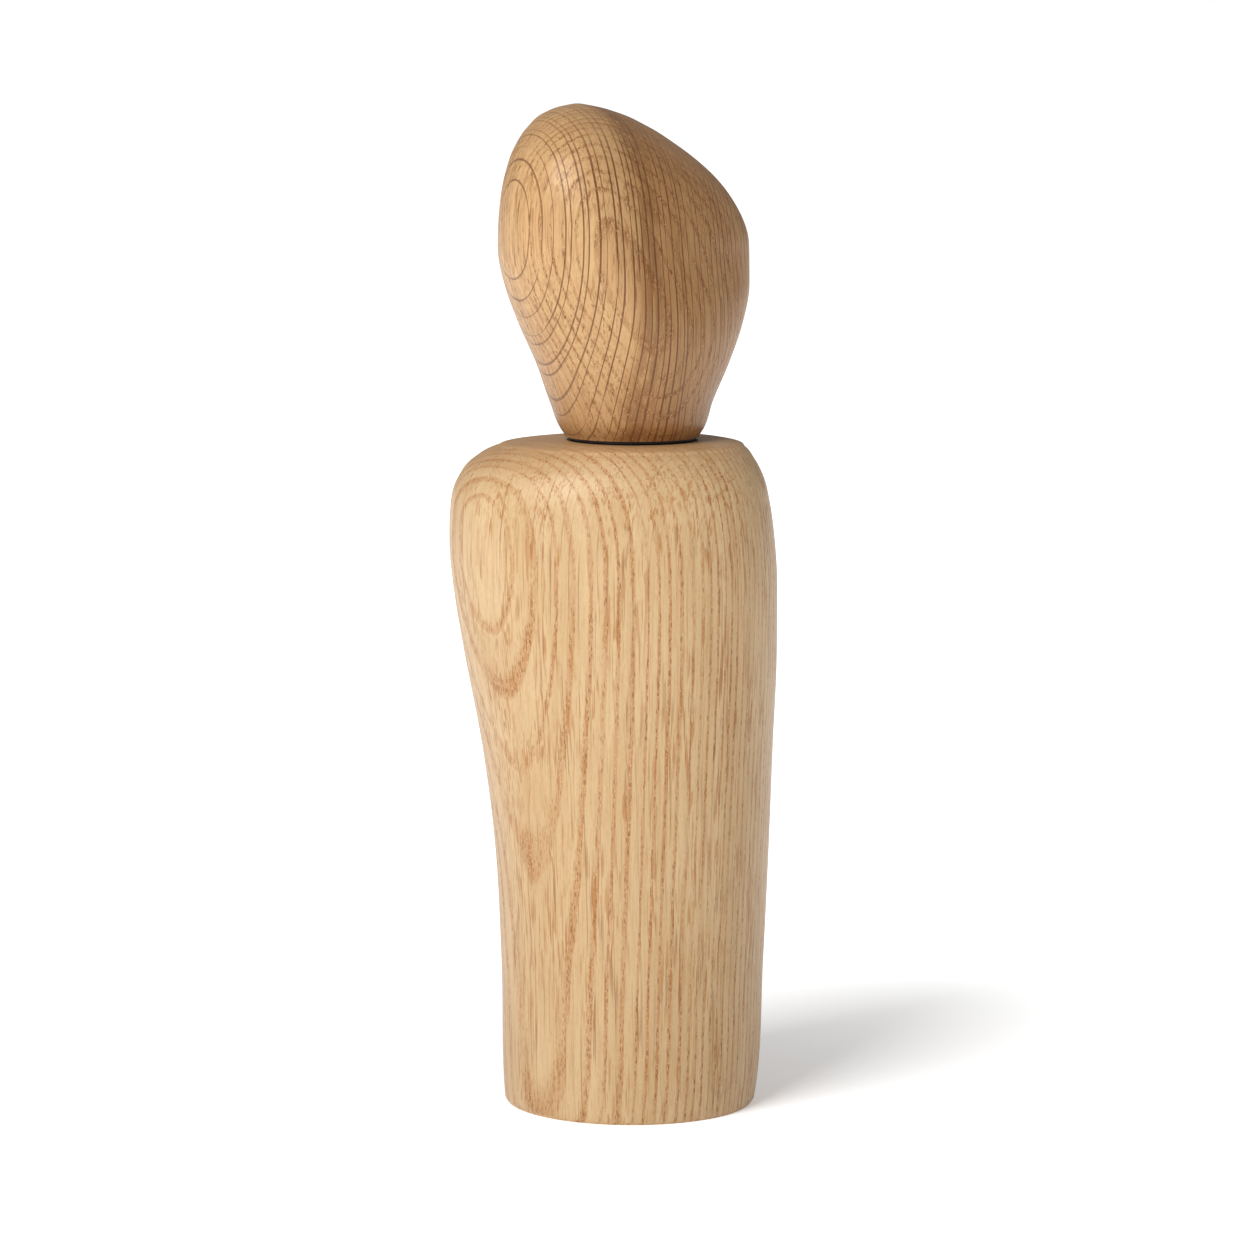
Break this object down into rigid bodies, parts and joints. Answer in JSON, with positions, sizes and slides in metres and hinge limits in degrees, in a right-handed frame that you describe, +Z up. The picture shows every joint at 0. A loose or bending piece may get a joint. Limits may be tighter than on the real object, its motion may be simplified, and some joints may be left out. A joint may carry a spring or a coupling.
{
  "type": "pepper mill",
  "caption": "Oak pepper mill shaped as a plain figure with a pebble head; the head turns a ceramic grinder in the base and lifts off for filling.",
  "frame": {"origin": "middle of the footprint's box, on the plane that the foot stands on; the mill's axis is 3.8 mm towards +X from it, because the left shoulder is broader", "axes": "+Z up along the mill's axis, -Y towards the viewer who sees the broad shoulder on the left, +X to that viewer's right"},
  "size_m": [0.0686, 0.058, 0.2096],
  "materials": {
    "body_oak": "oiled oak, sanded smooth, open grain",
    "head_oak": "oiled oak, slightly darker piece",
    "black_plastic": "fine moulded, satin",
    "grey_plastic": "glass-filled moulding, matt",
    "ivory_plastic": "slippery bearing plastic",
    "white_ceramic": "fired and ground, unglazed",
    "shaft_aluminium": "drawn bar",
    "spring_steel": "stainless, bright"
  },
  "bodies": {
    "body": {"body_shell": "body_oak", "neck_bush": "black_plastic", "mechanism_housing": "grey_plastic", "bearing_bridge": "grey_plastic", "adjuster_circlip": "spring_steel", "click_spring": "spring_steel", "preload_spring": "spring_steel"},
    "drive": {"drive_shaft": "shaft_aluminium", "shaft_bush": "ivory_plastic", "shaft_clip": "spring_steel", "thrust_washer": "spring_steel", "feed_auger": "ivory_plastic", "rotor_hub": "ivory_plastic", "grinding_cone": "white_ceramic", "lower_washer": "spring_steel", "rotor_screw": "spring_steel"},
    "head": {"head_shell": "head_oak", "head_insert": "black_plastic", "grip_ring": "spring_steel"},
    "adjuster": {"adjusting_ring": "black_plastic"},
    "stator": {"stator_carrier": "grey_plastic", "grinding_ring": "white_ceramic"}
  },
  "joints": [
    {"name": "mill_turn", "type": "hinge", "parent": "body", "child": "drive", "pos_m": [0.0038, 0, 0.045], "axis": [0, 0, 1], "continuous": true},
    {"name": "head_lift", "type": "slide", "parent": "drive", "child": "head", "axis": [0, 0, 1], "range_m": [0, 0.045]},
    {"name": "grind_adjust", "type": "hinge", "parent": "body", "child": "adjuster", "pos_m": [0.0038, 0, 0.008], "axis": [0, 0, 1], "range_deg": [-136, 136]},
    {"name": "stator_travel", "type": "slide", "parent": "body", "child": "stator", "axis": [0, 0, 1], "range_m": [-0.00075, 0.00075], "deforming": ["preload_spring"]}
  ],
  "couplings": [
    {"joint": "grind_adjust", "follows": "stator_travel", "rad_per_m": -3141.6}
  ]
}
